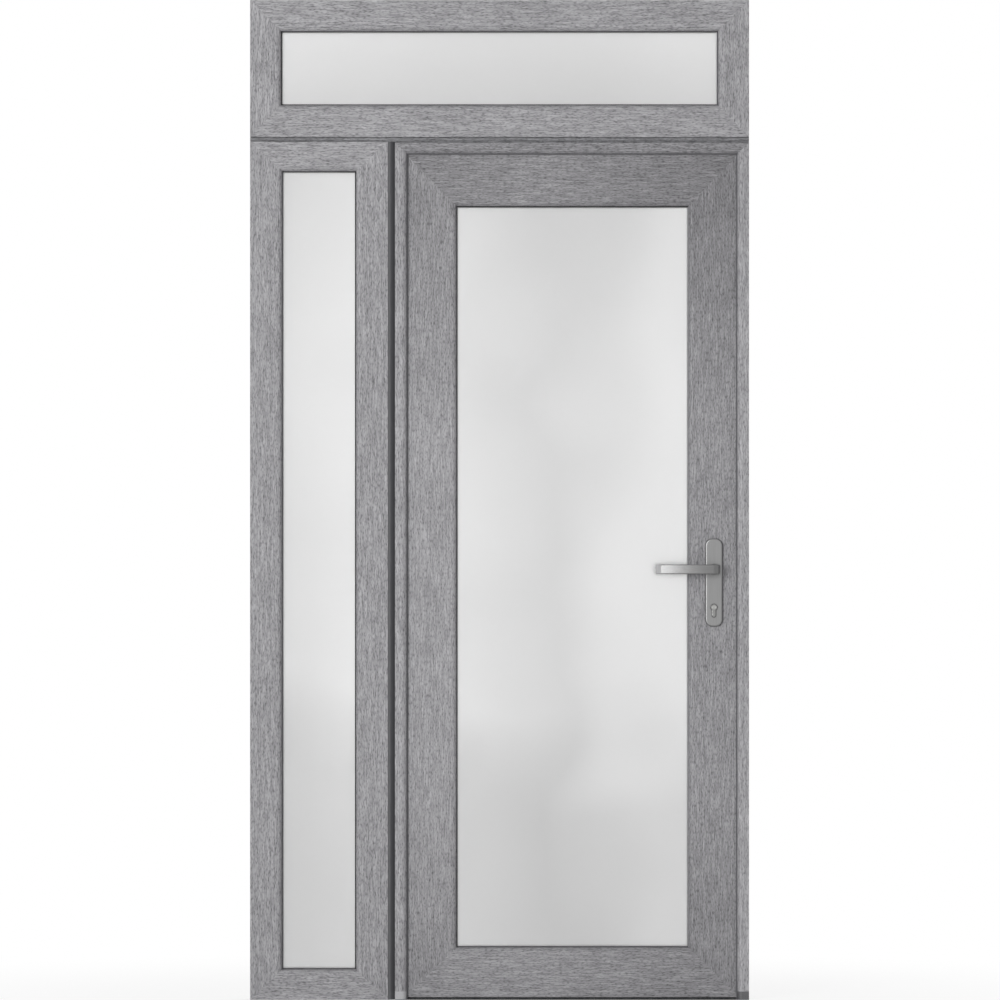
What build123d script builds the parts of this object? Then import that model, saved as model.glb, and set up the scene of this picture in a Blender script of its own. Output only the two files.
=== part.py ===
from build123d import *
import os

# Exterior door set of plastic profiles: a door with a full-height pane, a narrow fixed light
# beside it and a fixed light across the top. Millimetres; X runs right as seen from outside,
# Y runs into the building, Z up. The origin is on the underside, at mid width and mid depth.

# Layout in elevation
SIDELIGHT_WIDTH = 336.0
UPRIGHT_JOINT = 17.5
DOOR_FRAME_WIDTH = 864.0
LOWER_HEIGHT = 2094.0
DOOR_FRAME_DROP = 2.5
LEVEL_JOINT = 12.0
TRANSOM_HEIGHT = 334.0

# Outer frame profiles
SYSTEM_DEPTH = 70.0
TRANSOM_FACE = 75.0
TRANSOM_BOTTOM_FACE = 77.5
SIDELIGHT_FACE = 77.3
SIDELIGHT_TOP_FACE = 71.0
SIDELIGHT_BOTTOM_FACE = 73.7
FIXED_FLANGE = 20.0
EDGE_WIDTH = 11.0
EDGE_DROP = 8.0
GLAZING_REBATE = 20.0

# Door frame, threshold and leaf
FRAME_BASE = 16.5
STOP_FACE = 28.2
HEAD_FACE = 25.5
STOP_FLANGE = 12.0
STOP_GAP = 5.0
LEAF_GAP = 5.5
LEAF_FLOOR_GAP = 4.0
LOCK_EDGE_BEVEL = 3.3
LEAF_HINGE_STILE = 127.6
LEAF_LOCK_STILE = 124.8
LEAF_TOP_RAIL = 131.6
LEAF_BOTTOM_RAIL = 120.7
LEAF_FLANGE = 14.0
THRESHOLD_THICKNESS = 2.0
FOOT_HEIGHT = 18.7
SEAL_CLEARANCE = 0.6

# Glazing
PANE = 4.0
CAVITY = 16.0
GLASS_EDGE_GAP = 5.0
OUTER_GASKET = 3.0
INNER_GASKET = 2.0
GASKET_LIP = 3.0
GASKET_COVER = 12.0
BEAD_LAND = 4.0
BEAD_SLOPE = 9.0
BEAD_MITRE_GAP = 0.4
SPACER_WIDTH = 7.0
SPACER_INSET = 3.0

# Hinges
HINGE_MARGIN = 230.5
HINGE_LENGTH = 100.0
HINGE_PLATE = 2.5
HINGE_PLATE_WIDTH = 32.0
KNUCKLES = 5
KNUCKLE_GAP = 0.5
BARREL_RADIUS = 7.0
BARREL_STANDOFF = 0.5
TONGUE_REACH = 4.0
PIN_RADIUS = 3.5
PIN_CLEARANCE = 0.05
PIN_TIP_RADIUS = 5.5
PIN_TIP = 4.0

# Handle
BACKSET = 63.5
LEVER_HEIGHT = 1051.0
CYLINDER_BELOW_LEVER = 93.0
PLATE_WIDTH = 42.3
PLATE_LENGTH = 215.0
PLATE_TOP_ABOVE_LEVER = 75.0
PLATE_THICKNESS = 9.0
PLATE_CORNER = 17.0
PLATE_EDGE = 4.0
LEVER_REACH = 143.0
LEVER_DEPTH = 23.0
LEVER_THICKNESS = 9.0
LEVER_STANDOFF = 45.0
LEVER_BOW = 12.0
NECK_WIDTH = 26.0
NECK_BEND = 15.0
NECK_INNER_BEND = 8.0
LEVER_FACET = 13.0
LEVER_FACET_DROP = 6.0
LEVER_RETURN = 8.0
LEVER_EDGE = 2.0
HUB_RADIUS = 10.0
HUB_CLEARANCE = 0.3
HUB_END_GAP = 1.0
COLLAR_RADIUS = 14.0
COLLAR_THICKNESS = 3.5
COLLAR_CLEARANCE = 0.5
SPINDLE = 8.0
SPINDLE_SOCKET = 25.0
SPINDLE_FIT = 0.1
SPINDLE_HOLE_RADIUS = 11.5
SCREW_RADIUS = 2.5
SCREW_HEAD_RADIUS = 4.5
SCREW_HEAD = 1.5
SCREW_MARGIN = 13.0

# Lock
CYLINDER_RADIUS = 8.5
CYLINDER_TAIL = 10.0
CYLINDER_HEIGHT = 33.0
CYLINDER_PROUD = 5.0
CYLINDER_EDGE = 2.2
CYLINDER_FIT = 0.5
PLUG_RADIUS = 6.5
PLUG_GROOVE = 0.6
PLUG_GROOVE_DEPTH = 1.0
KEYWAY_WIDTH = 2.2
KEYWAY_HEIGHT = 8.0
KEYWAY_DEPTH = 8.0
FACEPLATE_WIDTH = 20.0
FACEPLATE_MARGIN = 150.0
FACEPLATE_THICKNESS = 3.0
BOLT_WIDTH = 12.0
BOLT_PROUD = 1.5
BOLT_INSET = 12.0
BOLT_FIT = 0.4
STRIKE_WIDTH = 26.0
STRIKE_THICKNESS = 2.0
STRIKE_MARGIN = 30.0
STRIKE_MORTISE = 12.0
STRIKE_ROOM = 2.0
LATCH_LENGTH = 22.0
DEADBOLT_LENGTH = 36.0
HOOK_LENGTH = 44.0
HOOK_SPREAD = 650.0

# Joints between the frames
UPRIGHT_RECESS_LEFT = 4.0
UPRIGHT_RECESS_RIGHT = 14.0
LEVEL_RIB = 6.0
LEVEL_RIB_RECESS = 2.0
LEVEL_GROOVE_RECESS = 7.0
BACK_RECESS = 2.0

# Bottom seal and wall anchors
BRUSH_WIDTH = 6.0
BRUSH_SOCKET = 6.0
BRUSH_END = 7.0
ANCHOR_RADIUS = 5.25
ANCHOR_MARGIN = 247.0

# How far a cut runs past the face that it starts from
OVERCUT = 1.0

# Derived places
FRONT = -SYSTEM_DEPTH / 2
BACK = SYSTEM_DEPTH / 2
TOTAL_WIDTH = SIDELIGHT_WIDTH + UPRIGHT_JOINT + DOOR_FRAME_WIDTH
LEFT = -TOTAL_WIDTH / 2
RIGHT = TOTAL_WIDTH / 2
DOOR_LEFT = RIGHT - DOOR_FRAME_WIDTH
SIDELIGHT_RIGHT = LEFT + SIDELIGHT_WIDTH
DOOR_FRAME_TOP = LOWER_HEIGHT - DOOR_FRAME_DROP
TRANSOM_BOTTOM = LOWER_HEIGHT + LEVEL_JOINT
TRANSOM_TOP = TRANSOM_BOTTOM + TRANSOM_HEIGHT
FOOT_TOP = THRESHOLD_THICKNESS + FOOT_HEIGHT
REBATE_LEFT = DOOR_LEFT + FRAME_BASE
REBATE_RIGHT = RIGHT - FRAME_BASE
LEAF_LEFT = REBATE_LEFT + LEAF_GAP
LEAF_RIGHT = REBATE_RIGHT - LEAF_GAP
LEAF_BOTTOM = THRESHOLD_THICKNESS + LEAF_FLOOR_GAP
LEAF_TOP = DOOR_FRAME_TOP - FRAME_BASE - LEAF_GAP
LEAF_FRONT = FRONT + STOP_FLANGE + STOP_GAP
LEAF_MIDDLE = (LEAF_FRONT + BACK) / 2
LEAF_HALF_HEIGHT = (LEAF_BOTTOM + LEAF_TOP) / 2
GLASS_UNIT = 2 * PANE + CAVITY
HINGE_X = (REBATE_LEFT + LEAF_LEFT) / 2
HINGE_Y = BACK + BARREL_STANDOFF + BARREL_RADIUS
HANDLE_X = LEAF_RIGHT - BACKSET
CYLINDER_Z = LEVER_HEIGHT - CYLINDER_BELOW_LEVER
PLATE_TOP = LEVER_HEIGHT + PLATE_TOP_ABOVE_LEVER
PLATE_Z = PLATE_TOP - PLATE_LENGTH / 2
PLATE_FRONT = LEAF_FRONT - PLATE_THICKNESS
FACEPLATE_LENGTH = LEAF_TOP - LEAF_BOTTOM - 2 * FACEPLATE_MARGIN
HINGE_HEIGHTS = (LEAF_BOTTOM + HINGE_MARGIN, LEAF_HALF_HEIGHT, LEAF_TOP - HINGE_MARGIN)
ANCHOR_HEIGHTS = (ANCHOR_MARGIN, LOWER_HEIGHT - ANCHOR_MARGIN)
SCREW_HEIGHTS = (PLATE_TOP - SCREW_MARGIN, PLATE_TOP - PLATE_LENGTH + SCREW_MARGIN)

# Bolts on the lock edge: height of the middle and length of each
BOLTS = (
    (LEVER_HEIGHT, LATCH_LENGTH),
    (CYLINDER_Z, DEADBOLT_LENGTH),
    (LEAF_HALF_HEIGHT + HOOK_SPREAD, HOOK_LENGTH),
    (LEAF_HALF_HEIGHT - HOOK_SPREAD, HOOK_LENGTH),
)

# Rectangles in elevation are (left, bottom, right, top); sides run clockwise from the left one.
SIDES = ("left", "top", "right", "bottom")
LEFT_SIDE, TOP_SIDE, RIGHT_SIDE, BOTTOM_SIDE = range(len(SIDES))
EDGE_OF_SIDE = (0, 3, 2, 1)
TRANSOM = (LEFT, TRANSOM_BOTTOM, RIGHT, TRANSOM_TOP)
SIDELIGHT = (LEFT, 0.0, SIDELIGHT_RIGHT, LOWER_HEIGHT)
DOOR_FRAME = (DOOR_LEFT, FOOT_TOP, RIGHT, DOOR_FRAME_TOP)
LEAF = (LEAF_LEFT, LEAF_BOTTOM, LEAF_RIGHT, LEAF_TOP)

os.makedirs("parts", exist_ok=True)


def write(part, name):
    """Name a finished piece and write its file."""
    part.label = name
    export_step(part, f"parts/{name}.step")


def inset(rect, left, bottom, right, top):
    """A rectangle with each side moved in by its own distance."""
    return (rect[0] + left, rect[1] + bottom, rect[2] - right, rect[3] - top)


def grow(rect, by):
    """A rectangle moved out by one distance all round, or in if it is negative."""
    return inset(rect, -by, -by, -by, -by)


def corners(rect):
    """Corners from the bottom left, up and then clockwise as seen from outside."""
    left, bottom, right, top = rect
    return [(left, bottom), (left, top), (right, top), (right, bottom)]


def slab(rect, front, back, mode=Mode.ADD):
    """A rectangle in elevation between two depths, in the piece being built."""
    left, bottom, right, top = rect
    with BuildSketch(Plane.XZ.offset(-front)) as face:
        with Locations(((left + right) / 2, (bottom + top) / 2)):
            Rectangle(right - left, top - bottom)
    extrude(face.sketch, amount=front - back, mode=mode)


def ring(outer, inner, front, back):
    """A rectangular ring between two depths, in the piece being built."""
    slab(outer, front, back)
    slab(inner, front - OVERCUT, back + OVERCUT, Mode.SUBTRACT)


def bar_outline(points):
    """A closed outline of straight lines for the sketch that calls it."""
    with BuildLine() as line:
        Polyline(*points, close=True)
    make_face(line.edges())


def rebated_section(width, front, flange, floor):
    """Section of a bar: a flange in front with a rounded sight edge, a rebate behind it."""
    with BuildLine() as line:
        Polyline(
            (width, front + EDGE_DROP), (width, front + flange), (floor, front + flange),
            (floor, BACK), (0, BACK), (0, front), (width - EDGE_WIDTH, front),
        )
        TangentArc((width - EDGE_WIDTH, front), (width, front + EDGE_DROP), tangent=(1, 0))
    make_face(line.edges())


def fixed_section(width):
    """Bar of a fixed light, with the rebate that its glass unit sits in."""
    rebated_section(width, FRONT, FIXED_FLANGE, width - GLAZING_REBATE)


def stop_section(width):
    """Bar of the door frame, with the stop that the leaf closes against."""
    rebated_section(width, FRONT, STOP_FLANGE, FRAME_BASE)


def leaf_section(width):
    """Bar of the door leaf."""
    rebated_section(width, LEAF_FRONT, LEAF_FLANGE, width - GLAZING_REBATE)


def section_plane(outer, side):
    """Plane across a bar at its first corner: local x points into the frame, local y to the back."""
    start, stop = corners(outer)[side], corners(outer)[(side + 1) % 4]
    run = Vector(stop[0] - start[0], 0, stop[1] - start[1])
    return Plane(origin=(start[0], 0, start[1]), x_dir=Vector(0, 1, 0).cross(run), z_dir=run)


def mitred_bar(outer, inner, side, section, mitre_gap=0.0):
    """One bar of a frame: its section along a side, trimmed to the mitred outline in elevation."""
    following = (side + 1) % len(SIDES)
    start, stop = Vector(corners(outer)[side]), Vector(corners(outer)[following])
    inner_start, inner_stop = Vector(corners(inner)[side]), Vector(corners(inner)[following])
    run = stop - start
    back_off = run.normalized() * (mitre_gap / 2)
    width = abs(inner[EDGE_OF_SIDE[side]] - outer[EDGE_OF_SIDE[side]])
    with BuildPart() as bar:
        with BuildSketch(section_plane(outer, side)) as profile:
            section(width)
        extrude(profile.sketch, amount=run.length)
        with BuildSketch(Plane.XZ) as outline:
            bar_outline([
                start + back_off, stop - back_off, inner_stop - back_off, inner_start + back_off,
            ])
        extrude(outline.sketch, amount=SYSTEM_DEPTH, both=True, mode=Mode.INTERSECT)
    return bar.part


def glazing(name, sight, front):
    """Glass unit, spacer, gaskets and beads behind the sight opening of a frame."""
    pane = grow(sight, GLAZING_REBATE - GLASS_EDGE_GAP)
    glass = front + OUTER_GASKET
    glass_back = glass + GLASS_UNIT
    with BuildPart() as panes:
        slab(pane, glass, glass + PANE)
        slab(pane, glass_back - PANE, glass_back)
    write(panes.part, f"{name}_glass")

    with BuildPart() as spacer:
        edge = grow(pane, -SPACER_INSET)
        ring(edge, grow(edge, -SPACER_WIDTH), glass + PANE, glass_back - PANE)
    write(spacer.part, f"{name}_spacer")

    with BuildPart() as gaskets:
        cover, lip = grow(sight, GASKET_COVER), grow(sight, -GASKET_LIP)
        ring(cover, lip, front, glass)
        ring(cover, lip, glass_back, glass_back + INNER_GASKET)
    write(gaskets.part, f"{name}_gaskets")

    bead_front = glass_back + INNER_GASKET

    def bead_section(width):
        bar_outline([
            (0, bead_front), (width, bead_front), (width, bead_front + BEAD_LAND),
            (width - BEAD_SLOPE, BACK), (0, BACK),
        ])

    rebate = grow(sight, GLAZING_REBATE)
    strips = [mitred_bar(rebate, sight, side, bead_section, BEAD_MITRE_GAP) for side in range(len(SIDES))]
    with BuildPart() as beads:
        add(strips)
    write(beads.part, f"{name}_beads")


def euro_profile(clearance):
    """Outline of the lock cylinder, a round over a narrower tail, at the cylinder's place."""
    tail = CYLINDER_TAIL / 2 + clearance
    drop = CYLINDER_HEIGHT - 2 * CYLINDER_RADIUS + CYLINDER_RADIUS - CYLINDER_TAIL / 2
    with Locations((HANDLE_X, CYLINDER_Z)):
        Circle(CYLINDER_RADIUS + clearance)
    with Locations((HANDLE_X, CYLINDER_Z - drop)):
        Circle(tail)
    with Locations((HANDLE_X, CYLINDER_Z - drop / 2)):
        Rectangle(2 * tail, drop)


def round_bar(x, z, radius, front, back, mode=Mode.ADD):
    """A cylinder along the depth, in the piece being built."""
    with BuildSketch(Plane.XZ.offset(-front)) as disc:
        with Locations((x, z)):
            Circle(radius)
    extrude(disc.sketch, amount=front - back, mode=mode)


def anchor_holes(outer_x, inner_x):
    """Holes for the wall anchors, through a bar from its outer face, in the piece being built."""
    for height in ANCHOR_HEIGHTS:
        with BuildSketch(Plane.YZ.offset(outer_x)) as hole:
            with Locations((0, height)):
                Circle(ANCHOR_RADIUS)
        extrude(hole.sketch, amount=inner_x - outer_x, mode=Mode.SUBTRACT)


# Fixed light across the top
transom_sight = inset(TRANSOM, TRANSOM_FACE, TRANSOM_BOTTOM_FACE, TRANSOM_FACE, TRANSOM_FACE)
for side, side_name in enumerate(SIDES):
    write(mitred_bar(TRANSOM, transom_sight, side, fixed_section), f"transom_{side_name}_bar")
glazing("transom", transom_sight, FRONT + FIXED_FLANGE)

# Fixed light beside the door; its outer bar is bolted to the wall
sidelight_sight = inset(SIDELIGHT, SIDELIGHT_FACE, SIDELIGHT_BOTTOM_FACE, SIDELIGHT_FACE, SIDELIGHT_TOP_FACE)
for side, side_name in enumerate(SIDES):
    blank = mitred_bar(SIDELIGHT, sidelight_sight, side, fixed_section)
    with BuildPart() as sidelight_bar:
        add(blank)
        if side_name == "left":
            anchor_holes(LEFT, LEFT + SIDELIGHT_FACE - GLAZING_REBATE)
    write(sidelight_bar.part, f"sidelight_{side_name}_bar")
glazing("sidelight", sidelight_sight, FRONT + FIXED_FLANGE)

# Joints between the frames
with BuildPart() as upright_coupler:
    with BuildSketch(Plane.XY) as upright_plan:
        bar_outline([
            (SIDELIGHT_RIGHT, FRONT + UPRIGHT_RECESS_LEFT), (DOOR_LEFT, FRONT + UPRIGHT_RECESS_RIGHT),
            (DOOR_LEFT, BACK - BACK_RECESS), (SIDELIGHT_RIGHT, BACK - BACK_RECESS),
        ])
    extrude(upright_plan.sketch, amount=LOWER_HEIGHT)
write(upright_coupler.part, "upright_coupler")

with BuildPart() as level_coupler:
    groove = FRONT + LEVEL_GROOVE_RECESS
    slab((LEFT, LOWER_HEIGHT, RIGHT, TRANSOM_BOTTOM), groove, BACK - BACK_RECESS)
    slab((DOOR_LEFT, DOOR_FRAME_TOP, RIGHT, LOWER_HEIGHT), groove, BACK - BACK_RECESS)
    rib_bottom = (LOWER_HEIGHT + TRANSOM_BOTTOM - LEVEL_RIB) / 2
    slab((LEFT, rib_bottom, RIGHT, rib_bottom + LEVEL_RIB), FRONT + LEVEL_RIB_RECESS, 0)
write(level_coupler.part, "level_coupler")

# Door frame
stop_sight = inset(DOOR_FRAME, STOP_FACE, 0, STOP_FACE, HEAD_FACE)
write(mitred_bar(DOOR_FRAME, stop_sight, TOP_SIDE, stop_section), "door_head")


hinge_blank = mitred_bar(DOOR_FRAME, stop_sight, LEFT_SIDE, stop_section)
with BuildPart() as hinge_jamb:
    add(hinge_blank)
    for height in HINGE_HEIGHTS:
        with BuildSketch(Plane.YZ.offset(REBATE_LEFT)) as mortise:
            with Locations((BACK - HINGE_PLATE_WIDTH / 2, height)):
                Rectangle(HINGE_PLATE_WIDTH, HINGE_LENGTH)
        extrude(mortise.sketch, amount=-HINGE_PLATE, mode=Mode.SUBTRACT)
write(hinge_jamb.part, "hinge_jamb")

lock_blank = mitred_bar(DOOR_FRAME, stop_sight, RIGHT_SIDE, stop_section)
with BuildPart() as lock_jamb:
    add(lock_blank)
    anchor_holes(RIGHT, REBATE_RIGHT)
    for height, length in BOLTS:
        with BuildSketch(Plane.YZ.offset(REBATE_RIGHT)) as strike_seat:
            with Locations((LEAF_MIDDLE, height)):
                Rectangle(STRIKE_WIDTH, length + STRIKE_MARGIN)
        extrude(strike_seat.sketch, amount=STRIKE_THICKNESS, mode=Mode.SUBTRACT)
        with BuildSketch(Plane.YZ.offset(REBATE_RIGHT)) as strike_mortise:
            with Locations((LEAF_MIDDLE, height)):
                Rectangle(BOLT_WIDTH + STRIKE_ROOM, length + STRIKE_ROOM)
        extrude(strike_mortise.sketch, amount=STRIKE_MORTISE, mode=Mode.SUBTRACT)
write(lock_jamb.part, "lock_jamb")

with BuildPart() as strike_plates:
    for height, length in BOLTS:
        with BuildSketch(Plane.YZ.offset(REBATE_RIGHT)) as strike:
            with Locations((LEAF_MIDDLE, height)):
                Rectangle(STRIKE_WIDTH, length + STRIKE_MARGIN)
                Rectangle(BOLT_WIDTH + STRIKE_ROOM, length + STRIKE_ROOM, mode=Mode.SUBTRACT)
        extrude(strike.sketch, amount=STRIKE_THICKNESS)
write(strike_plates.part, "strike_plates")

with BuildPart() as threshold:
    slab((DOOR_LEFT, 0, RIGHT, THRESHOLD_THICKNESS), FRONT, BACK)
write(threshold.part, "threshold")

with BuildPart() as jamb_feet:
    for side in (LEFT_SIDE, RIGHT_SIDE):
        foot_rect = (DOOR_LEFT, THRESHOLD_THICKNESS, RIGHT, FOOT_TOP)
        with BuildSketch(section_plane(foot_rect, side)) as foot:
            stop_section(STOP_FACE)
        extrude(foot.sketch, amount=FOOT_HEIGHT)
write(jamb_feet.part, "jamb_feet")

with BuildPart() as stop_seal:
    seal_front = FRONT + STOP_FLANGE
    seal_outer = (LEAF_LEFT, THRESHOLD_THICKNESS + SEAL_CLEARANCE, LEAF_RIGHT, LEAF_TOP)
    seal_lip = STOP_FACE + GASKET_LIP - FRAME_BASE - LEAF_GAP
    seal_top_lip = HEAD_FACE + GASKET_LIP - FRAME_BASE - LEAF_GAP
    slab(seal_outer, seal_front, LEAF_FRONT - SEAL_CLEARANCE)
    slab(inset(seal_outer, seal_lip, -OVERCUT, seal_lip, seal_top_lip), seal_front - OVERCUT, LEAF_FRONT,
         Mode.SUBTRACT)
write(stop_seal.part, "stop_seal")

# Hinges: plates let into the jamb and the leaf's edge, with knuckles by turns on one pin
knuckle_pitch = HINGE_LENGTH / KNUCKLES


def hinge_half(plate_left, tongue_left, owner):
    """Plates and knuckles of one half of every hinge, in the piece being built."""
    for middle in HINGE_HEIGHTS:
        bottom = middle - HINGE_LENGTH / 2
        slab((plate_left, bottom, plate_left + HINGE_PLATE, bottom + HINGE_LENGTH),
             BACK - HINGE_PLATE_WIDTH, BACK)
        for knuckle in range(owner, KNUCKLES, 2):
            low = bottom + knuckle * knuckle_pitch + KNUCKLE_GAP / 2
            height = knuckle_pitch - KNUCKLE_GAP
            slab((tongue_left, low, tongue_left + HINGE_PLATE, low + height), BACK, BACK + TONGUE_REACH)
            with BuildSketch(Plane.XY.offset(low)) as barrel:
                with Locations((HINGE_X, HINGE_Y)):
                    Circle(BARREL_RADIUS)
            extrude(barrel.sketch, amount=height)
            with BuildSketch(Plane.XY.offset(low)) as bore:
                with Locations((HINGE_X, HINGE_Y)):
                    Circle(PIN_RADIUS + PIN_CLEARANCE)
            extrude(bore.sketch, amount=height, mode=Mode.SUBTRACT)


with BuildPart() as hinge_frame_plates:
    hinge_half(REBATE_LEFT - HINGE_PLATE, REBATE_LEFT - HINGE_PLATE, 0)
write(hinge_frame_plates.part, "hinge_frame_plates")

with BuildPart() as hinge_leaf_plates:
    hinge_half(LEAF_LEFT, LEAF_LEFT, 1)
write(hinge_leaf_plates.part, "hinge_leaf_plates")

with BuildPart() as hinge_pins:
    for middle in HINGE_HEIGHTS:
        for low, height, radius in (
            (middle - HINGE_LENGTH / 2, HINGE_LENGTH, PIN_RADIUS),
            (middle + HINGE_LENGTH / 2, PIN_TIP, PIN_TIP_RADIUS),
            (middle - HINGE_LENGTH / 2 - PIN_TIP, PIN_TIP, PIN_TIP_RADIUS),
        ):
            with BuildSketch(Plane.XY.offset(low)) as pin:
                with Locations((HINGE_X, HINGE_Y)):
                    Circle(radius)
            extrude(pin.sketch, amount=height)
write(hinge_pins.part, "hinge_pins")

# Door leaf. The lock edge is bevelled so that it clears the jamb as it swings in.
leaf_sight = inset(LEAF, LEAF_HINGE_STILE, LEAF_BOTTOM_RAIL, LEAF_LOCK_STILE, LEAF_TOP_RAIL)
edge_plane = Plane(
    origin=(LEAF_RIGHT - LOCK_EDGE_BEVEL / 2, LEAF_MIDDLE, 0),
    x_dir=(LOCK_EDGE_BEVEL, BACK - LEAF_FRONT, 0),
    z_dir=(BACK - LEAF_FRONT, -LOCK_EDGE_BEVEL, 0),
)


def bevelled_bar(side):
    """One bar of the leaf, trimmed to the bevel of the lock edge."""
    blank = mitred_bar(LEAF, leaf_sight, side, leaf_section)
    with BuildPart() as bar:
        add(blank)
        with BuildSketch(Plane.XY) as plan:
            bar_outline([
                (LEAF_LEFT, LEAF_FRONT), (LEAF_RIGHT - LOCK_EDGE_BEVEL, LEAF_FRONT),
                (LEAF_RIGHT, BACK), (LEAF_LEFT, BACK),
            ])
        extrude(plan.sketch, amount=LOWER_HEIGHT, mode=Mode.INTERSECT)
    return bar.part


def lock_edge_box(width, middle, length, outward, inward, mode):
    """A box on the bevelled lock edge, from outside its face to inside, in the piece being built."""
    with BuildSketch(edge_plane.offset(outward)) as face:
        with Locations((0, middle)):
            Rectangle(width, length)
    extrude(face.sketch, amount=-(outward + inward), mode=mode)


hinge_stile_blank = bevelled_bar(LEFT_SIDE)
with BuildPart() as hinge_stile:
    add(hinge_stile_blank)
    for height in HINGE_HEIGHTS:
        with BuildSketch(Plane.YZ.offset(LEAF_LEFT)) as leaf_mortise:
            with Locations((BACK - HINGE_PLATE_WIDTH / 2, height)):
                Rectangle(HINGE_PLATE_WIDTH, HINGE_LENGTH)
        extrude(leaf_mortise.sketch, amount=HINGE_PLATE, mode=Mode.SUBTRACT)
write(hinge_stile.part, "hinge_stile")

lock_stile_blank = bevelled_bar(RIGHT_SIDE)
with BuildPart() as lock_stile:
    add(lock_stile_blank)
    lock_edge_box(FACEPLATE_WIDTH, LEAF_HALF_HEIGHT, FACEPLATE_LENGTH, OVERCUT, FACEPLATE_THICKNESS,
                  Mode.SUBTRACT)
    for height, length in BOLTS:
        lock_edge_box(BOLT_WIDTH, height, length, OVERCUT, BOLT_INSET, Mode.SUBTRACT)
    round_bar(HANDLE_X, LEVER_HEIGHT, SPINDLE_HOLE_RADIUS, LEAF_FRONT, BACK, Mode.SUBTRACT)
    for height in SCREW_HEIGHTS:
        round_bar(HANDLE_X, height, SCREW_RADIUS, LEAF_FRONT, BACK, Mode.SUBTRACT)
    with BuildSketch(Plane.XZ.offset(-LEAF_FRONT)) as cylinder_hole:
        euro_profile(0)
    extrude(cylinder_hole.sketch, amount=LEAF_FRONT - BACK, mode=Mode.SUBTRACT)
write(lock_stile.part, "lock_stile")

write(bevelled_bar(TOP_SIDE), "leaf_top_rail")

brush_front = LEAF_MIDDLE - BRUSH_WIDTH / 2
brush_socket = (LEAF_LEFT, LEAF_BOTTOM, LEAF_RIGHT, LEAF_BOTTOM + BRUSH_SOCKET)
bottom_rail_blank = bevelled_bar(BOTTOM_SIDE)
with BuildPart() as leaf_bottom_rail:
    add(bottom_rail_blank)
    slab(brush_socket, brush_front, brush_front + BRUSH_WIDTH, Mode.SUBTRACT)
write(leaf_bottom_rail.part, "leaf_bottom_rail")

with BuildPart() as bottom_brush:
    brush = (
        LEAF_LEFT + BRUSH_END, THRESHOLD_THICKNESS + SEAL_CLEARANCE,
        LEAF_RIGHT - BRUSH_END, LEAF_BOTTOM + BRUSH_SOCKET,
    )
    slab(brush, brush_front, brush_front + BRUSH_WIDTH)
write(bottom_brush.part, "bottom_brush")

glazing("leaf", leaf_sight, LEAF_FRONT + LEAF_FLANGE)

# Lock
with BuildPart() as lock_faceplate:
    lock_edge_box(FACEPLATE_WIDTH, LEAF_HALF_HEIGHT, FACEPLATE_LENGTH, 0, FACEPLATE_THICKNESS, Mode.ADD)
    for height, length in BOLTS:
        lock_edge_box(BOLT_WIDTH + BOLT_FIT, height, length + BOLT_FIT, OVERCUT,
                      FACEPLATE_THICKNESS + OVERCUT, Mode.SUBTRACT)
write(lock_faceplate.part, "lock_faceplate")

with BuildPart() as lock_bolts:
    for height, length in BOLTS:
        lock_edge_box(BOLT_WIDTH, height, length, BOLT_PROUD, BOLT_INSET, Mode.ADD)
write(lock_bolts.part, "lock_bolts")

cylinder_front = PLATE_FRONT - CYLINDER_PROUD
cylinder_back = 2 * LEAF_MIDDLE - cylinder_front
with BuildPart() as lock_cylinder:
    with BuildSketch(Plane.XZ.offset(-cylinder_front)) as cylinder_face:
        euro_profile(0)
    extrude(cylinder_face.sketch, amount=cylinder_front - cylinder_back)
    ends = lock_cylinder.faces().sort_by(Axis.Y)
    fillet(ends[0].edges() + ends[-1].edges(), CYLINDER_EDGE)
    for end, inward in ((cylinder_front, -1), (cylinder_back, 1)):
        with BuildSketch(Plane.XZ.offset(-end)) as groove:
            with Locations((HANDLE_X, CYLINDER_Z)):
                Circle(PLUG_RADIUS + PLUG_GROOVE)
                Circle(PLUG_RADIUS, mode=Mode.SUBTRACT)
        extrude(groove.sketch, amount=inward * PLUG_GROOVE_DEPTH, mode=Mode.SUBTRACT)
        with BuildSketch(Plane.XZ.offset(-end)) as keyway:
            with Locations((HANDLE_X, CYLINDER_Z)):
                Rectangle(KEYWAY_WIDTH, KEYWAY_HEIGHT)
        extrude(keyway.sketch, amount=inward * KEYWAY_DEPTH, mode=Mode.SUBTRACT)
write(lock_cylinder.part, "lock_cylinder")

# Handle: a long plate and a lever on each face, the inner ones mirrored about the leaf's middle
middle_plane = Plane.XZ.offset(-LEAF_MIDDLE)

with BuildPart() as outer_backplate:
    with BuildSketch(Plane.XZ.offset(-LEAF_FRONT)) as plate_outline:
        with Locations((HANDLE_X, PLATE_Z)):
            RectangleRounded(PLATE_WIDTH, PLATE_LENGTH, PLATE_CORNER)
    extrude(plate_outline.sketch, amount=PLATE_THICKNESS)
    fillet(outer_backplate.faces().sort_by(Axis.Y)[0].edges(), PLATE_EDGE)
    round_bar(HANDLE_X, LEVER_HEIGHT, HUB_RADIUS + HUB_CLEARANCE, PLATE_FRONT, LEAF_FRONT, Mode.SUBTRACT)
    with BuildSketch(Plane.XZ.offset(-PLATE_FRONT)) as plate_keyhole:
        euro_profile(CYLINDER_FIT)
    extrude(plate_keyhole.sketch, amount=-PLATE_THICKNESS, mode=Mode.SUBTRACT)
write(outer_backplate.part, "outer_backplate")

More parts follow.
